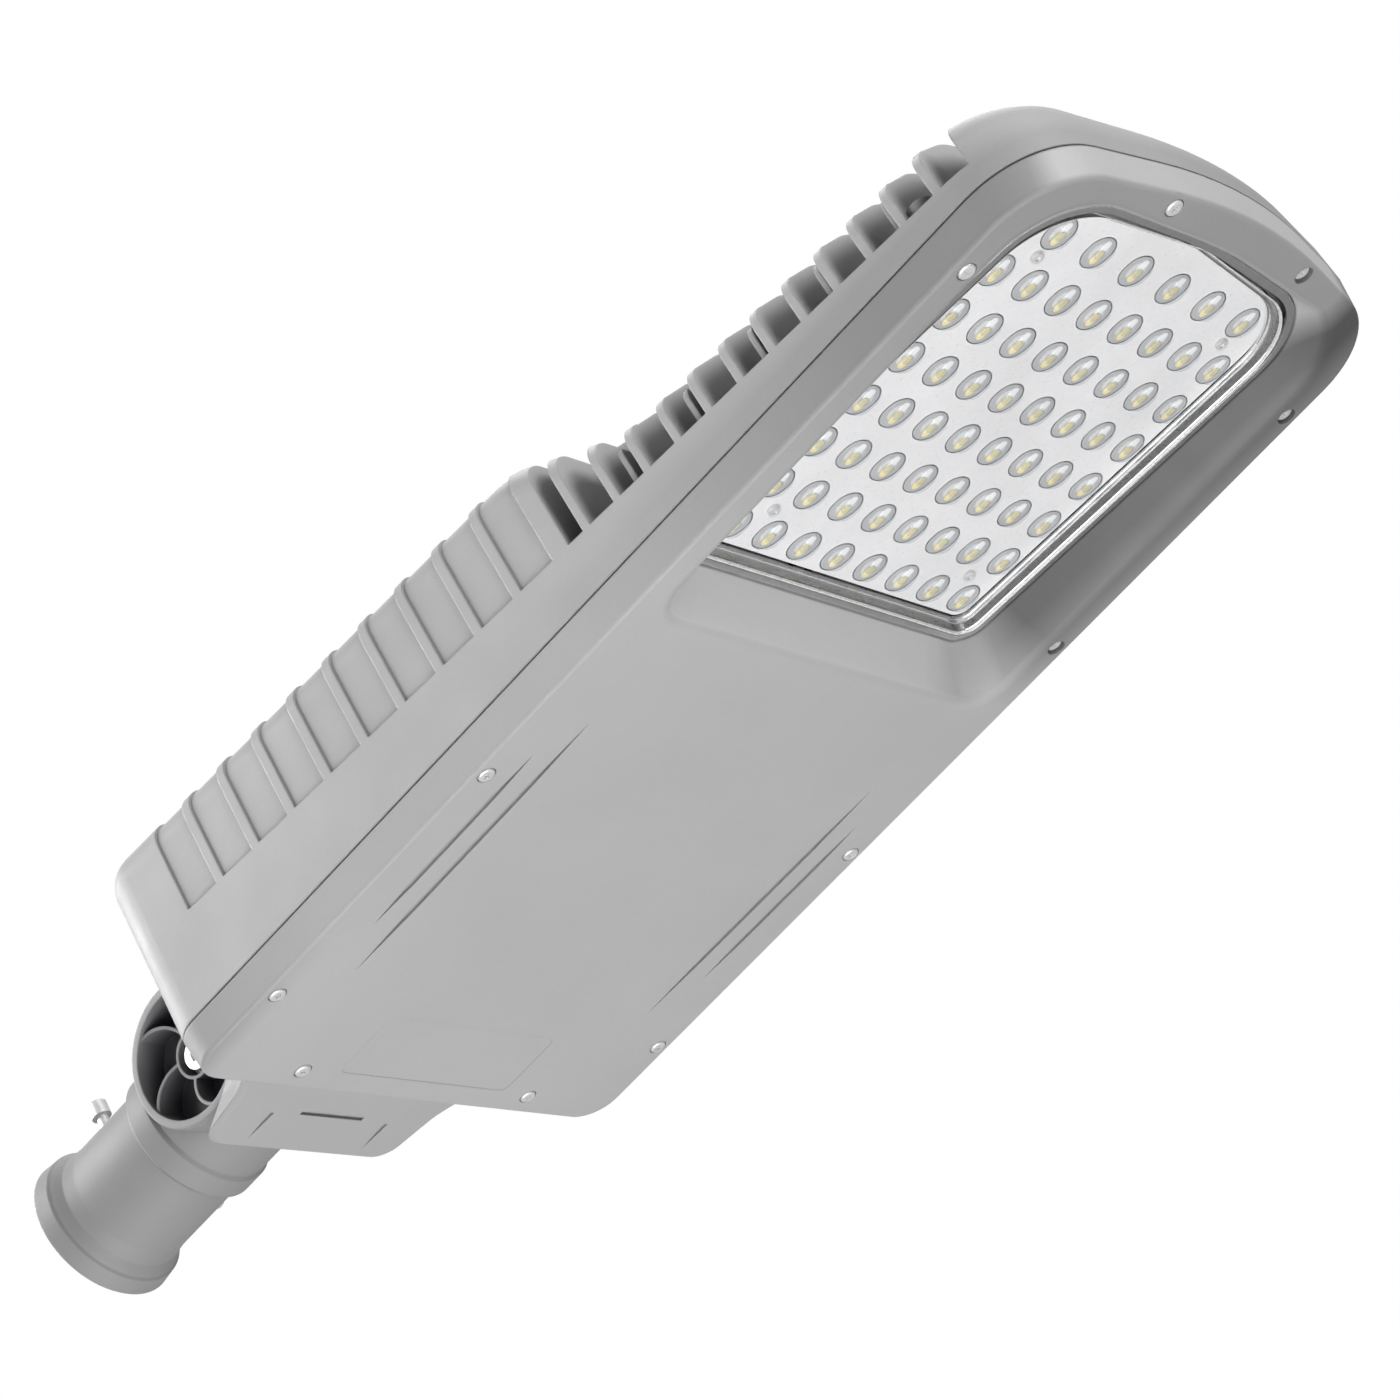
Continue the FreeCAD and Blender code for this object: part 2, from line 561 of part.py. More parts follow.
def strap_spacers():
    return [ring(4.5, 2.3, V(x, side * STRAP_FOOT_Y, STRAP_FOOT_Z + 1.6), V(x, side * STRAP_FOOT_Y,
                 STRAP_FOOT_Z + 3.0)) for x in STRAP_XS for side in (-1, 1)]


def controller_case():
    x0, x1, half, z0, z1 = CTRL
    case = fuse([box(x0, x1, -half, half, z0, z1), box(x0, x1, -half - 15, half + 15, z1 - 3, z1)])
    room = box(x0 + 2, x1 - 2, -half + 2, half - 2, z0 - 1, z1 - 5)
    return cut(case, [room] + [z_rod(2.2, 80, 100, x, y) for x, y in CTRL_EARS])


def controller_board():
    x0, x1, half, z0, z1 = CTRL
    return box(x0 + 2.5, x1 - 2.5, 2.5 - half, half - 2.5, z0 + 8, z0 + 9.6)


def controller_lid():
    x0, x1, half, z0, _ = CTRL
    return box(x0, x1, -half, half, z0 - 2.2, z0 - 0.05)


def controller_screws():
    return [plain_screw(V(x, y, CTRL[4] - 5.6), Z_AXIS, 4.0, 2.5, 2.0, 12) for x, y in CTRL_EARS]


def terminal_block():
    x0, z = CTRL[0] + 18, CTRL[3] - 2.2
    block = box(x0, x0 + 22, -32, 32, z - 13, z)
    tools = []
    for k in range(6):
        y = -26.5 + 10.6 * k
        tools += [box(x0 + 13, x0 + 23, y - 3, y + 3, z - 9, z - 3), z_rod(2.4, z - 14, z - 9, x0 + 7, y)]
    return cut(block, tools)


def terminal_screws():
    x, z = CTRL[0] + 25, CTRL[3] - 2.2
    return [z_rod(2.2, z - 12, z - 9.2, x, 10.6 * k - 26.5) for k in range(6)]


def battery_leads():
    """From the terminal block round the case's corner, over the cells and down to the first links."""
    z, over_z = CTRL[3] - 8.2, CELL_Z + CELL_LEN + 8.5
    rise_x, link_x = CTRL[1] + 6.5, CELL_X0 - 1.5
    leads = []
    for y in (15.9, 5.3):
        points = [(CTRL[0] + 36, y, z), (rise_x, y, z), (rise_x, y, over_z), (link_x, y, over_z),
                  (link_x, y, CELL_Z + CELL_LEN + 0.9)]
        leads.append(lead(points, 1.6, 5.0))
    return leads


def led_leads():
    """From the terminal block down under the cells and through the passage to the LED board's edge."""
    z = CTRL[3] - 8.2
    leads = []
    for y in (-26.5, -15.9):
        points = [(CTRL[0] + 36, y, z), (CTRL[0] + 56, y, z), (CTRL[0] + 63, y, 30), (CTRL[0] + 70, y, 6.2),
                  (150, y, 6.0), (282, y, 6.0), (297, y, 27), (309, y, 30.2), (317.5, y, 30.2)]
        leads.append(lead(points, 1.4, 6.0))
    return leads


# ---------------------------------------------------------------- cable inlet and vent
def gland_body():
    y, z = GLAND_YZ
    body = fuse([hexagon(22, V(WALL_OUT - 7, y, z), V(WALL_OUT - 1.0, y, z)),
                 x_rod(7.9, WALL_OUT - 16, 10, y, z)])
    return body.cut(x_rod(4.6, -40, 20, y, z))


def gland_cap():
    """Screw-down cap with a rounded nose and flats for a spanner."""
    y, z = GLAND_YZ
    start, mid, nose = WALL_OUT - 7.2, WALL_OUT - 17, WALL_OUT - 23
    dome = Part.makeCone(10.4, 6.5, mid - nose, V(mid, y, z), V(-1, 0, 0))
    body = fuse([hexagon(21, V(mid, y, z), V(start, y, z)), dome])
    return cut(body, [x_rod(8.0, mid + 0.5, start + 1, y, z), x_rod(4.6, -60, 0, y, z)])


def gland_insert():
    y, z = GLAND_YZ
    return x_rod(4.4, WALL_OUT - 22.5, WALL_OUT - 2, y, z)


def gland_seal():
    y, z = GLAND_YZ
    return ring(10.5, 8.0, V(WALL_OUT - 1.0, y, z), V(WALL_OUT, y, z))


def gland_locknut():
    y, z = GLAND_YZ
    return hexagon(22, V(WALL_IN, y, z), V(WALL_IN + 4.5, y, z)).cut(x_rod(8.0, 0, 10, y, z))


def breather_vent():
    y, z = VENT_YZ
    cap = x_rod(9.0, WALL_OUT - 6, WALL_OUT, y, z)
    cap = cap.makeFillet(1.5, [edge for edge in cap.Edges if edge.BoundBox.XMax < WALL_OUT - 5.9])
    slots = [box(WALL_OUT - 4.2, WALL_OUT - 2.4, y - 12, y + 12, z + dz - 0.7, z + dz + 0.7)
             for dz in (-5, 0, 5)]
    return cut(fuse([cap, x_rod(5.0, WALL_OUT - 1, 8, y, z)]), slots + [x_rod(2.0, WALL_OUT - 4, 9, y, z)])


def vent_locknut():
    y, z = VENT_YZ
    return hexagon(15, V(WALL_IN, y, z), V(WALL_IN + 3.5, y, z)).cut(x_rod(5.1, 0, 10, y, z))


# ---------------------------------------------------------------- knuckle
def knuckle_bracket():
    """Cast bracket on the rear wall, hollowed to hug the barrel, with a tongue on the pivot."""
    pivot = PIVOT - V(HEAD_X, 0, HEAD_Z)
    back, bottom, top = BRACKET_BACK, BRACKET_BOTTOM, BRACKET_TOP

    def outline(z, wall_half, mid_half, back_half, grow=0.0):
        """Plan outline at height z: flared at the wall, narrow and rounded at the back."""
        corners = [V(WALL_OUT, wall_half + grow, z), V(-32, mid_half + grow, z),
                   V(back - grow, back_half + grow, z)]
        points = [V(point.x, -point.y, z) for point in corners] + corners[::-1]
        return rounded_wire(points, [0, 34, 12, 12, 34, 0])

    foot = loft(outline(bottom, *BRACKET_FOOT, -2.2), outline(bottom + 2.2, *BRACKET_FOOT))
    flank = loft(outline(bottom + 2.2, *BRACKET_FOOT), outline(BRACKET_WAIST_Z, *BRACKET_WAIST))
    upper_part = prism(outline(BRACKET_WAIST_Z, *BRACKET_WAIST), V(0, 0, top - BRACKET_WAIST_Z))
    block = foot.multiFuse([flank, upper_part])
    seat = y_rod(BARREL_R + 0.9, -80, 80, pivot.x, pivot.z)
    upper = box(back - 10, pivot.x + BARREL_R + 1.5, -80, 80, pivot.z, top + 10)
    groove = box(-40.2, -38.0, -20, 20, bottom - 1, bottom + 1.5)
    creases = []
    for y in (-36.8, 36.8):
        corners = [V(-41, y - 1.2, bottom - 1), V(-41, y + 1.2, bottom - 1), V(-60, y, bottom - 1)]
        creases.append(prism(Part.makePolygon(corners + corners[:1]), V(0, 0, 2.0)))
    block = cut(block, [seat, upper, groove] + creases)
    tongue = y_rod(TONGUE_R, -TONGUE_HALF, TONGUE_HALF, pivot.x, pivot.z)
    link = box(pivot.x, -20, -TONGUE_HALF, TONGUE_HALF, pivot.z - 24, pivot.z + 24)
    body = fuse([block, tongue, link])
    holes = [x_rod(4.05, -24, 5, y, z) for y, z in BRACKET_BOLTS]
    return cut(body, holes + [y_rod(BOLT_HOLE_R, -60, 60, pivot.x, pivot.z)])


def bracket_bolts():
    return [plain_screw(V(PAD_IN + 6.5, y, z), V(-1, 0, 0), 6.5, 6.4, 4.0, 30) for y, z in BRACKET_BOLTS]


def vane(turn):
    """One curved web from the hub to the rim of the barrel's end."""
    def at(radius, angle):
        angle = math.radians(angle + turn)
        return PIVOT + V(radius * math.cos(angle), BARREL_HALF - VANE_DEPTH, radius * math.sin(angle))

    middle = [at(HUB_R - 0.7, 0), at(24.5, 17), at(BARREL_R - RIM_WALL + 0.7, 35)]
    circle = Part.Arc(*middle).toShape().Curve
    wider, narrower = (1 + 0.5 * side * VANE_WALL / circle.Radius for side in (1, -1))
    a0, a1, a2 = (circle.Center + (point - circle.Center) * wider for point in middle)
    b0, b1, b2 = (circle.Center + (point - circle.Center) * narrower for point in middle)
    outline = Part.Wire([Part.Arc(a0, a1, a2).toShape(), Part.makeLine(a2, b2), Part.Arc(b2, b1, b0).toShape(),
                         Part.makeLine(b0, a0)])
    return prism(outline, V(0, VANE_DEPTH - RIM_LIP, 0))


def spigot():
    profile = [V(0, 0, POLE_BORE_R), V(0, 0, MOUTH_BAND_R - 1.5), V(1.5, 0, MOUTH_BAND_R),
               V(MOUTH_BAND_LEN, 0, MOUTH_BAND_R - 1.0), V(MOUTH_BAND_LEN + 1.2, 0, BEAD_R),
               V(MOUTH_BAND_LEN + BEAD_LEN, 0, BEAD_R - 0.8), V(MOUTH_BAND_LEN + BEAD_LEN + 4, 0, SOCKET_R + 1.0),
               V(MOUTH_BAND_LEN + BEAD_LEN + 12, 0, SOCKET_R),
               V(COLLAR_X - 3, 0, SOCKET_R), V(COLLAR_X, 0, COLLAR_R), V(COLLAR_X + COLLAR_LEN, 0, COLLAR_R),
               V(COLLAR_X + COLLAR_LEN + 2, 0, NECK_R), V(PIVOT.x - 10, 0, NECK_R), V(PIVOT.x - 10, 0, 0),
               V(SOCKET_DEPTH, 0, 0), V(SOCKET_DEPTH, 0, POLE_BORE_R)]
    tube = Part.Face(Part.makePolygon(profile + profile[:1])).revolve(V(0, 0, 0), X_AXIS, 360)
    barrel = y_rod(BARREL_R, -BARREL_HALF, BARREL_HALF, PIVOT.x, PIVOT.z)
    barrel = barrel.makeFillet(1.4, [edge for edge in barrel.Edges if edge.BoundBox.YLength < 0.1])
    clamp_bosses = [z_rod(8.0, 29, SOCKET_R + 2.2, CLAMP_X, 0),
                    rod(8.0, V(CLAMP_X, 29, 0), V(CLAMP_X, SOCKET_R + 2.2, 0))]
    body = fuse([tube, barrel] + clamp_bosses)
    half = TONGUE_HALF + JOINT_GAP
    pocket_r = BARREL_R - RIM_WALL
    pocket = ring(pocket_r, HUB_R, V(PIVOT.x, BARREL_HALF - VANE_DEPTH, PIVOT.z), V(PIVOT.x, 60, PIVOT.z))
    dish_floor = V(PIVOT.x, BARREL_HALF - HUB_DEPTH, PIVOT.z)
    dish = Part.makeCone(HUB_R, pocket_r, HUB_DEPTH - RIM_LIP, dish_floor, Y_AXIS)
    hub_front = y_rod(HUB_R + 0.1, BARREL_HALF - HUB_DEPTH, 60, PIVOT.x, PIVOT.z)
    webs = [vane(VANE_START + 360.0 / VANE_COUNT * k).cut(dish) for k in range(VANE_COUNT)]
    cup = y_rod(HUB_CUP_R, HUB_FLOOR_Y, 60, PIVOT.x, PIVOT.z)
    tools = [y_rod(TONGUE_R + 1, -half, half, PIVOT.x, PIVOT.z),
             box(PIVOT.x, PIVOT.x + 60, -half, half, -60, 60),
             x_rod(POLE_BORE_R, -1, SOCKET_DEPTH), pocket, mirrored_y(pocket), cup, mirrored_y(cup),
             hub_front, mirrored_y(hub_front),
             y_rod(BOLT_HOLE_R, -60, 60, PIVOT.x, PIVOT.z), z_rod(CLAMP_SHANK_R + 0.05, 20, 60, CLAMP_X, 0),
             rod(CLAMP_SHANK_R + 0.05, V(CLAMP_X, 20, 0), V(CLAMP_X, 60, 0))]
    return fuse([cut(body, tools)] + webs + [mirrored_y(web) for web in webs])


def pivot_bolt():
    start = V(PIVOT.x, -HUB_FLOOR_Y - 8.0, PIVOT.z)
    return plain_screw(start, Y_AXIS, 7.6, 6.5, BOLT_R, 62.0)


def pivot_washers():
    washers = []
    for side in (-1, 1):
        start = V(PIVOT.x, side * HUB_FLOOR_Y, PIVOT.z)
        washers.append(ring(10.2, BOLT_HOLE_R, start, start + V(0, side * 1.5, 0)))
    return washers


def pivot_nut():
    start = V(PIVOT.x, HUB_FLOOR_Y + 1.5, PIVOT.z)
    nut = hexagon(17, start, start + V(0, 6.5, 0))
    return nut.cut(y_rod(BOLT_HOLE_R, 0, 60, PIVOT.x, PIVOT.z))


def clamp_screw(direction):
    """Hexagon-socket screw, drawn back so that its tip is level with the socket's wall."""
    head_face = V(CLAMP_X, 0, 0) + direction * (POLE_BORE_R + CLAMP_SCREW_LEN)
    shank = CLAMP_SCREW_LEN - CLAMP_HEAD_H - JOINT_GAP
    return plain_screw(head_face, direction * -1.0, CLAMP_HEAD_R, CLAMP_HEAD_H, CLAMP_SHANK_R, shank)


HEAD_NODES = {
    "upper_housing": upper_housing, "lower_cover": lower_cover, "housing_gasket": housing_gasket,
    "battery_cells": battery_cells, "cell_links": cell_links, "battery_straps": battery_straps,
    "strap_screws": strap_screws, "strap_spacers": strap_spacers, "controller_case": controller_case,
    "controller_board": controller_board, "controller_lid": controller_lid,
    "controller_screws": controller_screws, "terminal_block": terminal_block,
    "terminal_screws": terminal_screws, "battery_leads": battery_leads, "led_leads": led_leads,
    "gland_body": gland_body, "gland_cap": gland_cap, "gland_insert": gland_insert,
    "gland_seal": gland_seal, "gland_locknut": gland_locknut, "breather_vent": breather_vent,
    "vent_locknut": vent_locknut, "knuckle_bracket": knuckle_bracket, "bracket_bolts": bracket_bolts,
    "cover_screws": lambda: [pan_screw(x, y) for x, y in cover_screw_places()],
    "cell_spacer_lower": lambda: cell_spacer(CELL_Z),
    "cell_spacer_upper": lambda: cell_spacer(CELL_Z + CELL_LEN - 9.5),
    "battery_pad": lambda: box(PAD_START, PACK[1] - 3, 3 - PACK[2], PACK[2] - 3, CELL_Z + CELL_LEN + 1, 94.5),
}
MODULE_NODES = {
    "lens_array": lens_array, "led_board": led_board, "led_chips": led_chips, "heat_pad": heat_pad,
    "reflector_tray": reflector_tray, "tray_gasket": tray_gasket, "board_screws": board_screws,
}
SOCKET_NODES = {
    "spigot": spigot, "pivot_bolt": pivot_bolt, "pivot_washers": pivot_washers, "pivot_nut": pivot_nut,
    "clamp_screw_top": lambda: clamp_screw(Z_AXIS), "clamp_screw_side": lambda: clamp_screw(Y_AXIS),
}


def placed(shapes, moves):
    group = shapes if isinstance(shapes, list) else [shapes]
    for move in moves:
        group = [move(shape) for shape in group]
    return group


for node, maker in HEAD_NODES.items():
    export(node, placed(maker(), [head_place]))
for node, maker in MODULE_NODES.items():
    export(node, placed(maker(), [module_to_head, head_place]))
for node, maker in SOCKET_NODES.items():
    export(node, maker())
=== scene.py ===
"""Looks of the solar street lamp head: finishes, finer pieces, floor, studio light and camera.

Metres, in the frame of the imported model: +X from the pole towards the tip, +Z up, light shines down.
"""
import bpy
import json
import math
from mathutils import Matrix, Vector


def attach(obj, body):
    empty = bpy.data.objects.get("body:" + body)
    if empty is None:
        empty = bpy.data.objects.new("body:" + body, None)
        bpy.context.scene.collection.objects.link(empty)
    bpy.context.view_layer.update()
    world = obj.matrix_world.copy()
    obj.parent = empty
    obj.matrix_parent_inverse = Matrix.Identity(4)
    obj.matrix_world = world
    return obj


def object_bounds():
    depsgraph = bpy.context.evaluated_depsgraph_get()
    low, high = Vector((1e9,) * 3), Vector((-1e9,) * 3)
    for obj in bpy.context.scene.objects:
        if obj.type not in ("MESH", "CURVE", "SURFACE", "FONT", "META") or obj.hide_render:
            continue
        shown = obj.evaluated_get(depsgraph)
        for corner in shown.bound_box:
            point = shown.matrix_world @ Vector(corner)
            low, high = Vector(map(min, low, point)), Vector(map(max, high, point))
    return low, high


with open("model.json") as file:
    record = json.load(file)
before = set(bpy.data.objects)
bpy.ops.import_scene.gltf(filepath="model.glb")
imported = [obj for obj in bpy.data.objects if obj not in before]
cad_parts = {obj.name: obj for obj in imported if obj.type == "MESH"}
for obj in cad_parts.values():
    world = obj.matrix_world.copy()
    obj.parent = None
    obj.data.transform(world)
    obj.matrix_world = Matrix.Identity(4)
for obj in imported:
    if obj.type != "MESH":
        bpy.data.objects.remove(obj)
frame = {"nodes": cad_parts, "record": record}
nodes = frame["nodes"]
cad_low, cad_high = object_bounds()
scene = bpy.context.scene

# ---- camera, solved from the lamp's own geometry ----
CAMERA_PLACE = (0.9979, -1.1365, -0.8160)
CAMERA_RIGHT = (0.639802, 0.626543, -0.445081)
CAMERA_DOWN = (-0.666064, 0.163120, -0.727840)
CAMERA_FORWARD = (-0.383422, 0.762126, 0.521682)
CAMERA_LENS_MM = 89.0

# ---- studio: every light is a disc aimed at the lamp's middle (name, place, size, watts) ----
CENTRE = (cad_low + cad_high) / 2
LIGHTS = [
    ("key", (-0.9, -1.6, 1.5), 1.4, 31.0),
    ("rear_top", (-1.6, -0.5, 1.3), 1.2, 41.0),
    ("tip", (2.2, -0.4, 0.2), 1.2, 26.0),
    ("under", (0.3, -0.5, -2.3), 3.4, 98.0),
    ("top", (0.6, 0.5, 2.3), 2.0, 30.0),
]
WORLD_DIFFUSE, WORLD_GLOSSY, WORLD_SEEN = 0.12, 0.55, 1.0
FLOOR_Z, FLOOR_HALF, FLOOR_VALUE, FLOOR_GLOW = -2.4, 14.0, 0.80, 0.75

# ---- LED module: its middle back row, and the directions along and across it ----
MODULE_TILT = math.radians(3.24)
MODULE_PLACE = Vector((0.5214, 0.0, -0.0458))
MODULE_ALONG = Vector((math.cos(MODULE_TILT), 0.0, -math.sin(MODULE_TILT)))
MODULE_UP = Vector((math.sin(MODULE_TILT), 0.0, math.cos(MODULE_TILT)))
BODY_TAPER = 0.0124
ROW_PITCH, COLUMN_PITCH, TIP_PITCH = 25.07, 23.07, 27.684
FULL_ROWS, COLUMNS, TIP_COLUMNS = 7, 8, 6

# ---- window wall of the tray, millimetres in the module's plane ----
WALL_BACK, WALL_FRONT, WALL_HALF = -15.4, 199.9, 95.9
WALL_BACK_R, WALL_FRONT_R, WALL_BULGE = 10.0, 36.0, 7.0

# ---- paint colour, and painted shade and light as slow changes of paint tone standing in for how the light falls (a full tint below 1 shades, above 1 lights), metres: (full tint, ((axis, where it starts, where it is full), ...)) ----
PAINT, EDGE_SOFTNESS = (0.40, 0.40, 0.403), 0.0014
# painted shade: the side band, the hood's far side, the flat face and the cover band darken towards the tip
# and towards the back
SIDE_BAND_SHADE_TO_TIP = (0.78, (("X", 0.40, 0.60), ("Z", -0.036, -0.048)))
HOOD_FAR_SIDE_SHADE = (0.70, (("X", 0.66, 0.76), ("Y", -0.05, 0.06)))
FLAT_FACE_SHADE_TO_TIP = (0.66, (("X", 0.50, 0.70), ("Z", -0.0700, -0.0722)))
COVER_BAND_SHADE_TO_TIP = (0.62, (("X", 0.46, 0.64), ("Y", -0.112, -0.120), ("Z", -0.0724, -0.0705)))
COVER_BAND_SHADE_AT_BACK = (0.76, (("X", 0.30, 0.20), ("Y", -0.120, -0.130)))
# painted light: the ramp behind the window is lightened
RAMP_BEHIND_WINDOW_LIGHT = (1.38, (("X", 0.482, 0.488), ("X", 0.510, 0.504), ("Z", -0.0725, -0.0705),
                             ("Y", -0.122, -0.110), ("Y", 0.105, 0.070)))
# painted shadow: the ramp beside the window on the +Y side is darkened
RAMP_BESIDE_WINDOW_SHADOW = (0.26, (("X", 0.49, 0.53), ("Y", 0.080, 0.096), ("Y", 0.142, 0.106)))


# ---------------------------------------------------------------- node helpers
class Graph:
    """Short way to build a material's node tree."""

    def __init__(self, name):
        self.material = bpy.data.materials.new(name)
        self.material.use_nodes = True
        self.tree = self.material.node_tree
        self.tree.nodes.clear()
        self.output = self.add("ShaderNodeOutputMaterial")
        self.coords = self.add("ShaderNodeTexCoord").outputs["Object"]

    def add(self, kind, **settings):
        node = self.tree.nodes.new(kind)
        for key, value in settings.items():
            setattr(node, key, value)
        return node

    def link(self, value, socket):
        if isinstance(value, bpy.types.NodeSocket):
            self.tree.links.new(value, socket)
        else:
            socket.default_value = value

    def noise(self, scale, detail=3.0, rough=0.55, stretch=None):
        source = self.coords
        if stretch:
            mapping = self.add("ShaderNodeMapping")
            mapping.inputs["Scale"].default_value = stretch
            self.link(source, mapping.inputs["Vector"])
            source = mapping.outputs["Vector"]
        node = self.add("ShaderNodeTexNoise")
        self.link(source, node.inputs["Vector"])
        node.inputs["Scale"].default_value = scale
        node.inputs["Detail"].default_value = detail
        node.inputs["Roughness"].default_value = rough
        return node.outputs["Fac"]

    def remap(self, value, low, high, to_low, to_high):
        node = self.add("ShaderNodeMapRange")
        self.link(value, node.inputs["Value"])
        for key, number in (("From Min", low), ("From Max", high), ("To Min", to_low), ("To Max", to_high)):
            node.inputs[key].default_value = number
        return node.outputs["Result"]

    def mix(self, factor, a, b, blend="MIX"):
        node = self.add("ShaderNodeMix", data_type="RGBA", blend_type=blend)
        self.link(factor, node.inputs["Factor"])
        for value, index in ((a, 6), (b, 7)):
            self.link(value, node.inputs[index])
        return node.outputs[2]

    def math(self, operation, a, b=0.0):
        node = self.add("ShaderNodeMath", operation=operation)
        self.link(a, node.inputs[0])
        self.link(b, node.inputs[1])
        return node.outputs[0]

    def bump(self, height, distance, strength=1.0, normal=None):
        node = self.add("ShaderNodeBump")
        node.inputs["Distance"].default_value = distance
        node.inputs["Strength"].default_value = strength
        self.link(height, node.inputs["Height"])
        if normal:
            self.link(normal, node.inputs["Normal"])
        return node.outputs["Normal"]

    def bevel(self, radius):
        node = self.add("ShaderNodeBevel", samples=4)
        node.inputs["Radius"].default_value = radius
        return node.outputs["Normal"]

    def axis(self, name):
        """One coordinate of the point, in metres."""
        if not hasattr(self, "split"):
            self.split = self.add("ShaderNodeSeparateXYZ")
            self.link(self.coords, self.split.inputs[0])
        return self.split.outputs[name]

    def hollow(self, reach):
        """0 deep in pockets and seams, 1 in the open."""
        node = self.add("ShaderNodeAmbientOcclusion", samples=6, only_local=True)
        node.inputs["Distance"].default_value = reach
        return self.remap(node.outputs["AO"], 0.15, 0.9, 0.0, 1.0)

    def edge(self, rounded):
        """1 on sharp edges, 0 on open surfaces."""
        geometry = self.add("ShaderNodeNewGeometry")
        dot = self.add("ShaderNodeVectorMath", operation="DOT_PRODUCT")
        self.link(rounded, dot.inputs[0])
        self.link(geometry.outputs["Normal"], dot.inputs[1])
        return self.remap(dot.outputs["Value"], 0.985, 0.80, 0.0, 1.0)

    def principled(self, **inputs):
        node = self.add("ShaderNodeBsdfPrincipled")
        for key, value in inputs.items():
            self.link(value, node.inputs[key.replace("_", " ")])
        self.shader = node.outputs["BSDF"]
        self.link(self.shader, self.output.inputs["Surface"])
        return self.material


def grey(value):
    return (value, value, value, 1.0)


def tint(colour, factor):
    return tuple(channel * factor for channel in colour[:3]) + (1.0,)


# ---------------------------------------------------------------- finishes
def paint(name, colour, painted_shading=(), pocket_shade=(0.42, 0.42, 0.42, 1.0), reach=0.018):
    """Powder coat over a casting: cloudy tone, fine orange peel, softened edges with a little wear.

    The pocket tint is painted shade, laid deep in pockets and seams found within the reach; the fades are
    painted shade and light that change slowly along the axes.
    """
    g = Graph(name)
    cloud = g.noise(9.0, 4.0)
    speck = g.noise(650.0, 2.0)
    rounded = g.bevel(EDGE_SOFTNESS)
    base = g.mix(g.remap(cloud, 0.3, 0.7, 0.0, 1.0), tint(colour, 0.965), tint(colour, 1.035))
    base = g.mix(g.remap(speck, 0.35, 0.65, 0.0, 0.12), base, tint(colour, 0.86))
    # painted shade and light: each fade tints the tone darker or lighter along its axes, standing in for how
    # the light falls
    for full_tint, ramps in painted_shading:
        amount = 1.0
        for axis, start, full in ramps:
            amount = g.math("MULTIPLY", g.remap(g.axis(axis), start, full, 0.0, 1.0), amount)
        base = g.mix(1.0, base, g.mix(amount, grey(1.0), grey(full_tint)), "MULTIPLY")
    base = g.mix(g.math("MULTIPLY", g.edge(rounded), 0.25), base, tint(colour, 1.18))
    # painted shade: the tone darkens towards the pocket tint deep in pockets and seams
    base = g.mix(1.0, base, g.mix(g.hollow(reach), pocket_shade, grey(1.0)), "MULTIPLY")
    roughness = g.remap(g.math("ADD", g.noise(40.0), g.math("MULTIPLY", speck, 0.4)), 0.4, 1.0, 0.44, 0.58)
    peel = g.bump(g.noise(1400.0, 2.0), 0.00012, 0.35, rounded)
    return g.principled(Base_Color=base, Roughness=roughness, Normal=peel, IOR=1.45)


def steel(name, value, rough, warm=1.0, metal=1.0):
    """Bright screw steel with turned scratches."""
    g = Graph(name)
    scratch = g.noise(900.0, 3.0, 0.7, (1.0, 0.25, 1.0))
    base = g.mix(g.noise(220.0), (value * 0.82, value * 0.82, value * 0.82 / warm, 1.0),
                 (value, value, value / warm, 1.0))
    roughness = g.remap(scratch, 0.3, 0.7, rough * 0.7, rough * 1.4)
    normal = g.bump(scratch, 0.00008, 0.5, g.bevel(0.0003))
    return g.principled(Base_Color=base, Metallic=metal, Roughness=roughness, Normal=normal)


def plastic(name, colour, rough, grain=700.0):
    """Moulded plastic, rubber or sleeve with a fine grain."""
    g = Graph(name)
    cloud = g.noise(60.0, 3.0)
    grainy = g.noise(grain, 3.0)
    rounded = g.bevel(0.0004)
    base = g.mix(cloud, tint(colour, 0.85), tint(colour, 1.12))
    base = g.mix(g.math("MULTIPLY", g.edge(rounded), 0.25), base, tint(colour, 1.5))
    roughness = g.remap(grainy, 0.3, 0.7, rough * 0.85, rough * 1.15)
    normal = g.bump(grainy, 0.0001, 0.4, rounded)
    return g.principled(Base_Color=base, Roughness=roughness, Normal=normal)


def floor_paint(name, value, glow):
    """Pale matt floor; the glow is only for the eye and lights nothing."""
    g = Graph(name)
    cloud = g.noise(1.5, 3.0)
    base = g.mix(cloud, grey(value * 0.94), grey(value))
    seen = g.add("ShaderNodeLightPath").outputs["Is Camera Ray"]
    return g.principled(Base_Color=base, Roughness=g.remap(g.noise(30.0), 0.3, 0.7, 0.55, 0.7),
                        Normal=g.bump(g.noise(60.0), 0.0005, 0.3), Emission_Color=base,
                        Emission_Strength=g.math("MULTIPLY", seen, glow))


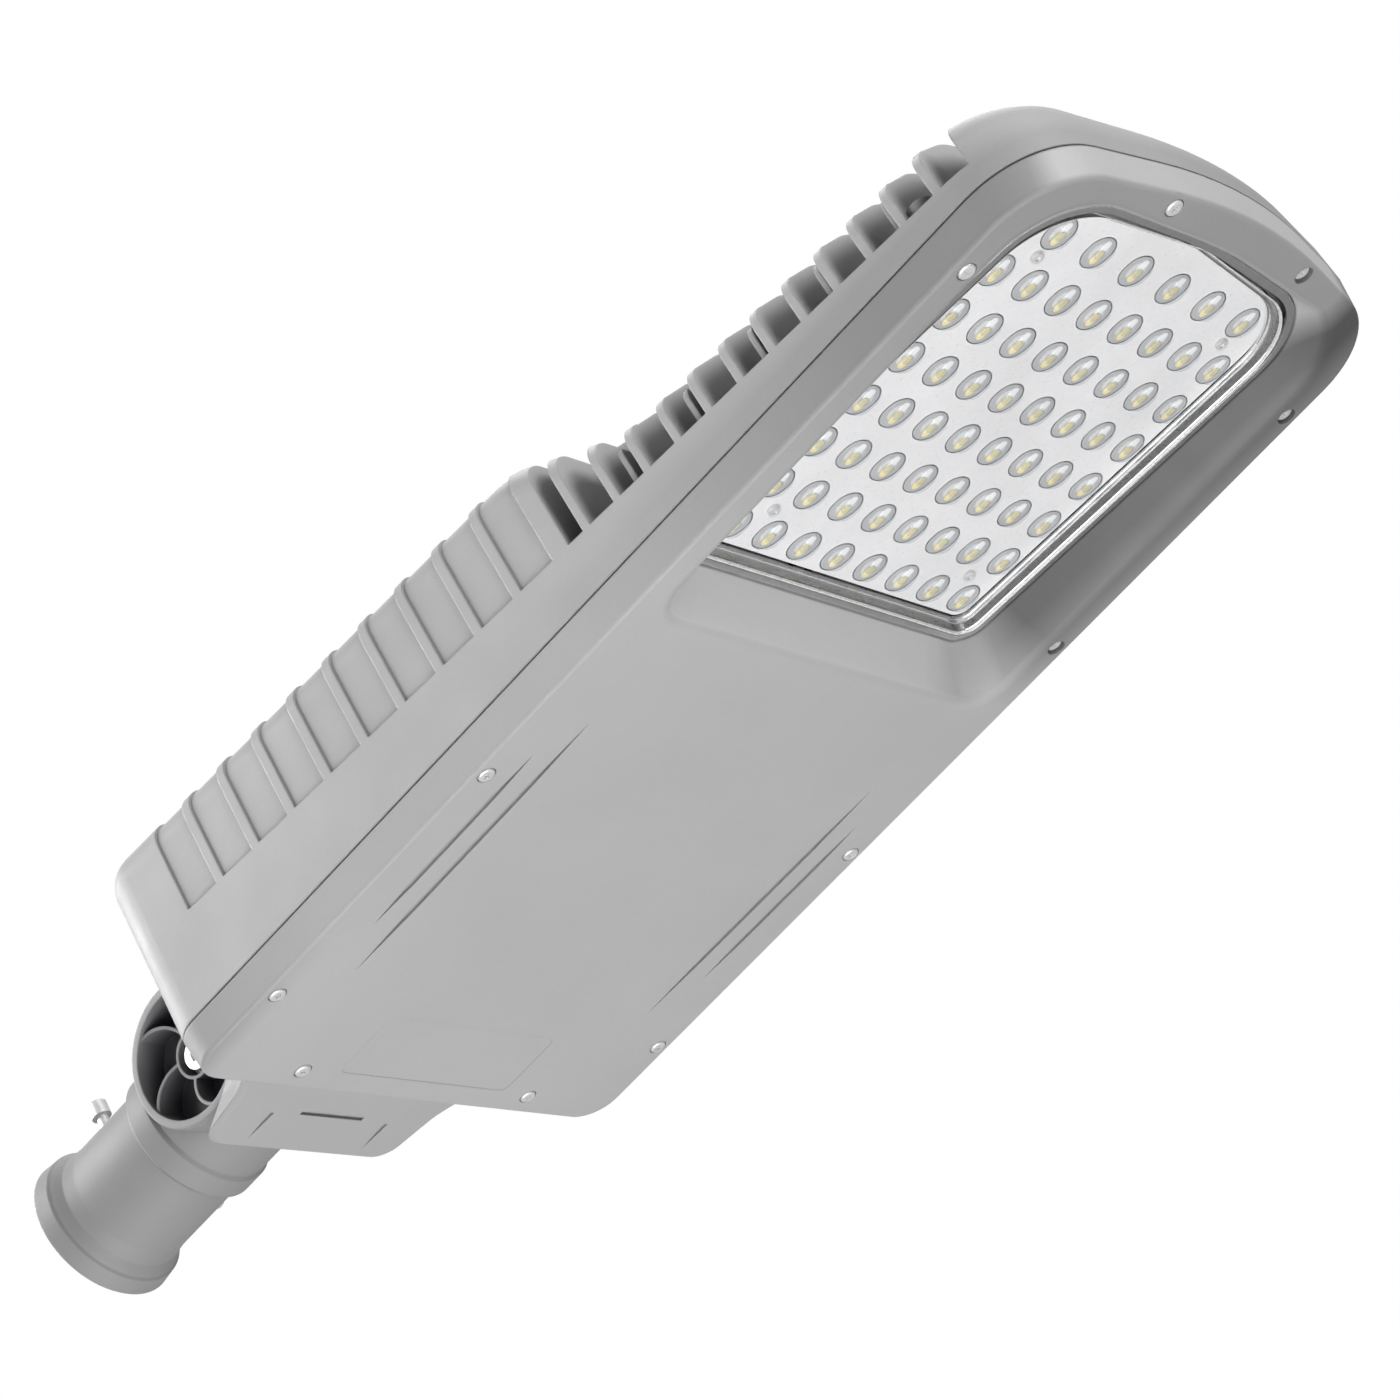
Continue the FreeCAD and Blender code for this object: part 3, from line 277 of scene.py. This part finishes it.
def lens_plate(name):
    """Clear domes on a satin, silvered plate."""
    g = Graph(name)
    side = g.add("ShaderNodeVectorMath", operation="SUBTRACT")
    g.link(g.coords, side.inputs[0])
    side.inputs[1].default_value = MODULE_PLACE
    height = g.add("ShaderNodeVectorMath", operation="DOT_PRODUCT")
    g.link(side.outputs[0], height.inputs[0])
    height.inputs[1].default_value = MODULE_UP
    dome = g.math("LESS_THAN", height.outputs["Value"], -0.00012)
    through = g.add("ShaderNodeBsdfTransparent")
    g.link(g.mix(g.noise(50.0), (0.90, 0.91, 0.92, 1.0), (0.97, 0.975, 0.98, 1.0)), through.inputs["Color"])
    gloss = g.add("ShaderNodeBsdfGlossy")
    g.link(g.remap(g.noise(300.0), 0.3, 0.7, 0.05, 0.12), gloss.inputs["Roughness"])
    ripple = g.bump(g.noise(180.0), 0.00006, 0.4)
    g.link(ripple, gloss.inputs["Normal"])
    facing = g.add("ShaderNodeLayerWeight")
    facing.inputs["Blend"].default_value = 0.32
    g.link(ripple, facing.inputs["Normal"])
    glass = g.add("ShaderNodeMixShader")
    g.link(g.remap(facing.outputs["Fresnel"], 0.0, 1.0, 0.02, 0.15), glass.inputs["Fac"])
    g.link(through.outputs[0], glass.inputs[1])
    g.link(gloss.outputs[0], glass.inputs[2])
    clear = glass.outputs[0]
    cloud = g.noise(22.0, 4.0)
    satin_base = g.mix(g.remap(cloud, 0.3, 0.7, 0.0, 1.0), (0.68, 0.68, 0.69, 1.0), (0.76, 0.76, 0.77, 1.0))
    satin_base = g.mix(g.remap(g.noise(420.0, 2.0), 0.3, 0.7, 0.0, 0.15), satin_base, grey(0.55))
    g.principled(Base_Color=satin_base, Roughness=g.remap(g.noise(600.0), 0.3, 0.7, 0.26, 0.38),
                 Normal=g.bump(g.noise(900.0), 0.00005, 0.4), IOR=1.5)
    satin = g.shader
    blend = g.add("ShaderNodeMixShader")
    g.link(dome, blend.inputs["Fac"])
    g.link(satin, blend.inputs[1])
    g.link(clear, blend.inputs[2])
    g.link(blend.outputs[0], g.output.inputs["Surface"])
    return g.material


finishes = {
    # the casting and cover paints carry painted shade and light in their fades, and every paint darkens in
    # its pockets as painted shade
    "painted_casting": paint("paint_casting", PAINT, painted_shading=[SIDE_BAND_SHADE_TO_TIP, HOOD_FAR_SIDE_SHADE]),
    "painted_cover": paint("paint_cover", PAINT, painted_shading=[
        FLAT_FACE_SHADE_TO_TIP, COVER_BAND_SHADE_TO_TIP, COVER_BAND_SHADE_AT_BACK, RAMP_BEHIND_WINDOW_LIGHT, RAMP_BESIDE_WINDOW_SHADOW]),
    "painted_bracket": paint("paint_bracket", tint(PAINT, 0.94)),
    # the spigot's near-black pocket tint is painted shade in its deep hollows
    "painted_spigot": paint("paint_spigot", tint(PAINT, 0.66), pocket_shade=(0.10, 0.10, 0.13, 1.0), reach=0.030),
    "bright_steel": steel("bright_screw_steel", 0.86, 0.40, metal=0.55),
    "zinc_steel": steel("zinc_sheet", 0.62, 0.40),
    "nickel": steel("nickel_strip", 0.68, 0.30, 1.06),
    "bare_aluminium": steel("extruded_aluminium", 0.70, 0.38),
    "chrome_plastic": steel("metallised_tray", 0.88, 0.20),
    "clear_lens": lens_plate("lens_acrylic"),
    "white_board": plastic("white_solder_mask", (0.80, 0.80, 0.81), 0.35),
    "phosphor": plastic("chip_phosphor", (0.86, 0.78, 0.42), 0.45),
    "green_board": plastic("green_solder_mask", (0.02, 0.16, 0.06), 0.3),
    "green_plastic": plastic("terminal_green", (0.03, 0.22, 0.07), 0.4),
    "black_plastic": plastic("black_nylon", (0.02, 0.02, 0.021), 0.5),
    "black_silicone": plastic("black_silicone", (0.03, 0.03, 0.032), 0.7),
    "grey_silicone": plastic("grey_heat_pad", (0.3, 0.32, 0.35), 0.7),
    "foam": plastic("closed_cell_foam", (0.05, 0.05, 0.055), 0.95, 350.0),
    "cell_wrap": plastic("cell_sleeve", (0.02, 0.10, 0.32), 0.3),
    "red_lead": plastic("red_insulation", (0.40, 0.01, 0.01), 0.35),
    "black_lead": plastic("black_insulation", (0.015, 0.015, 0.015), 0.35),
}
for part in frame["record"]["subparts"]:
    mesh = nodes[part["node"]].data
    mesh.materials.clear()
    mesh.materials.append(finishes[part["material_slot"]])


# ---------------------------------------------------------------- finer pieces of the LED module
LAMP_BODY = next(name for name, members in frame["record"]["behaviour"]["bodies"].items()
                 if "reflector_tray" in members)


def on_module(x, y, height):
    """Point of the LED module, from millimetres along, across and above its plane, to metres."""
    return MODULE_PLACE + (MODULE_ALONG * x + Vector((0, y, 0)) + MODULE_UP * height) / 1000


def arc(centre, start, end, radius, steps):
    """Points of an arc between two angles in degrees."""
    angles = [math.radians(start + (end - start) * i / steps) for i in range(steps + 1)]
    return [(centre[0] + radius * math.cos(a), centre[1] + radius * math.sin(a)) for a in angles]


def bands(first, count, levels):
    """Faces between stacked closed outlines of count points, from the vertex called first."""
    faces = []
    for level in range(levels - 1):
        row = first + level * count
        faces += [(row + i, row + (i + 1) % count, row + count + (i + 1) % count, row + count + i)
                  for i in range(count)]
    return faces


def module_piece(name, vertices, faces, material):
    """Mesh that rides on the lamp head."""
    mesh = bpy.data.meshes.new(name)
    mesh.from_pydata(vertices, [], faces)
    mesh.materials.append(material)
    piece = bpy.data.objects.new(name, mesh)
    scene.collection.objects.link(piece)
    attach(piece, LAMP_BODY)


def window_loop(grow):
    """Closed outline of the tray's wall, grown outwards: round back corners, tapered sides, bowed front."""
    back, front, half = WALL_BACK - grow, WALL_FRONT + grow, WALL_HALF + grow
    back_r, front_r = WALL_BACK_R + grow, WALL_FRONT_R + grow
    front_half = half - BODY_TAPER * (front - back)
    shoulder = front - WALL_BULGE - front_r * 0.97
    loop = arc((back + back_r, half - back_r), 90, 180, back_r, 8)
    loop += arc((back + back_r, back_r - half), 180, 270, back_r, 8)
    loop += arc((shoulder, front_r - front_half), -90, -4, front_r, 12)
    return loop + [(front, 0.0)] + arc((shoulder, front_half - front_r), 90, 4, front_r, 12)[::-1]


def ribbon(name, levels, material):
    """Skin through the tray wall's outline at several (grow, height) levels."""
    vertices = [on_module(x, y, height) for grow, height in levels for x, y in window_loop(grow)]
    module_piece(name, vertices, bands(0, len(vertices) // len(levels), len(levels)), material)


def capsules(name, levels, material, capped=True, shift=0.0):
    """A round-ended form in every lens, through (half straight length, radius, height) levels."""
    vertices, faces = [], []
    for row, across in LENS_PLACES:
        first = len(vertices)
        for straight, radius, height in levels:
            outline = arc((straight, 0.0), -90, 90, radius, END_STEPS)
            outline += arc((-straight, 0.0), 90, 270, radius, END_STEPS)
            vertices += [on_module(row + shift + x, across + y, height) for x, y in outline]
        count = (len(vertices) - first) // len(levels)
        faces += bands(first, count, len(levels))
        if capped:
            faces.append(tuple(range(len(vertices) - count, len(vertices))))
    module_piece(name, vertices, faces, material)


# painted highlight and painted reflection: the lip and wall are the one metallised tray in other tones, the
# lip brighter and less metallic as a highlight line, the wall darker standing in for its dim reflection
ribbon("tray_lip", [(0.05, -6.97), (-0.55, -6.75), (-0.75, -6.1), (-0.95, -5.9)],
       steel("tray_rim_painted_highlight", 0.92, 0.30, metal=0.4))
ribbon("tray_wall", [(-0.95, -5.9), (-1.25, -5.6), (-2.35, -2.9)], steel("tray_wall_painted_reflection", 0.50, 0.30))
ribbon("tray_foot", [(-2.35, -2.9), (-3.05, -2.7), (-3.15, -1.3), (-3.65, -1.1), (-3.75, -0.25)],
       finishes["chrome_plastic"])

END_STEPS = 9
LENS_PLACES = [(row * ROW_PITCH, (column - (COLUMNS - 1) / 2) * COLUMN_PITCH)
               for row in range(FULL_ROWS) for column in range(COLUMNS)]
LENS_PLACES += [(FULL_ROWS * ROW_PITCH, (column - (TIP_COLUMNS - 1) / 2) * TIP_PITCH)
                for column in range(TIP_COLUMNS)]
# partly painted reflection: the grey seat is the lenses' real seat and also stands in for the grey edge the
# clear domes reflect
seat_and_edge_reflection_finish = plastic("lens_seat_grey_painted_edge_reflection", (0.52, 0.52, 0.53), 0.35)
floor_finish = plastic("lens_floor_white", (0.66, 0.66, 0.67), 0.30)
# painted highlight: a bright bar in every lens stands in for the white streak of light the domes show
highlight_bar_finish = plastic("lens_bar_painted_highlight", (0.93, 0.93, 0.93), 0.22)
phosphor_finish = plastic("phosphor_window", (0.86, 0.77, 0.47), 0.50)
# grey seat rings, partly a painted reflection of the domes' edges
capsules("lens_seats", [(1.2, 6.9, -0.16), (1.2, 6.4, -0.42), (1.2, 4.1, -0.46), (1.2, 3.6, -0.20)],
         seat_and_edge_reflection_finish, capped=False)
capsules("lens_floors", [(1.2, 3.62, -0.19), (1.2, 3.3, -0.24)], floor_finish)
# painted highlight: bright bars under the domes in place of their streak of light
capsules("lens_highlight_bars", [(2.6, 1.7, -0.22), (2.6, 1.65, -0.75), (2.5, 1.4, -0.95)], highlight_bar_finish, shift=2.6)
capsules("chip_windows", [(1.9, 1.8, -0.3), (1.9, 1.75, -1.25), (1.8, 1.5, -1.45)], phosphor_finish,
         shift=-1.7)

# ---------------------------------------------------------------- floor, light, camera
floor_corners = [(x * FLOOR_HALF, y * FLOOR_HALF, FLOOR_Z) for x, y in ((-1, -1), (1, -1), (1, 1), (-1, 1))]
floor_mesh = bpy.data.meshes.new("floor")
floor_mesh.from_pydata(floor_corners, [], [(0, 1, 2, 3)])
floor_mesh.materials.append(floor_paint("floor_paint", FLOOR_VALUE, FLOOR_GLOW))
floor = bpy.data.objects.new("floor", floor_mesh)
scene.collection.objects.link(floor)


def area_light(name, place, size, watts):
    data = bpy.data.lights.new(name, "AREA")
    data.shape, data.size, data.energy = "DISK", size, watts
    light = bpy.data.objects.new(name, data)
    light.location = place
    light.rotation_mode = "QUATERNION"
    light.rotation_quaternion = (CENTRE - Vector(place)).to_track_quat("-Z", "Y")
    scene.collection.objects.link(light)


for light_name, place, size, watts in LIGHTS:
    area_light(light_name, place, size, watts)

world = bpy.data.worlds.new("studio")
scene.world = world
world.use_nodes = True
tree = world.node_tree
tree.nodes.clear()
world_out = tree.nodes.new("ShaderNodeOutputWorld")
path = tree.nodes.new("ShaderNodeLightPath")


def glow(strength):
    """White surroundings of one strength."""
    node = tree.nodes.new("ShaderNodeBackground")
    node.inputs["Color"].default_value, node.inputs["Strength"].default_value = grey(1.0), strength
    return node.outputs[0]


surround = glow(WORLD_DIFFUSE)
for ray, strength in (("Is Glossy Ray", WORLD_GLOSSY), ("Is Camera Ray", WORLD_SEEN)):
    choose = tree.nodes.new("ShaderNodeMixShader")
    tree.links.new(path.outputs[ray], choose.inputs["Fac"])
    tree.links.new(surround, choose.inputs[1])
    tree.links.new(glow(strength), choose.inputs[2])
    surround = choose.outputs[0]
tree.links.new(surround, world_out.inputs["Surface"])
scene.view_settings.view_transform = "Standard"

camera_data = bpy.data.cameras.new("camera")
camera_data.lens, camera_data.sensor_width = CAMERA_LENS_MM, 36.0
camera = bpy.data.objects.new("camera", camera_data)
right, up, back = Vector(CAMERA_RIGHT), -Vector(CAMERA_DOWN), -Vector(CAMERA_FORWARD)
camera.matrix_world = Matrix.Translation(CAMERA_PLACE) @ Matrix((right, up, back)).transposed().to_4x4()
scene.collection.objects.link(camera)
scene.camera = camera
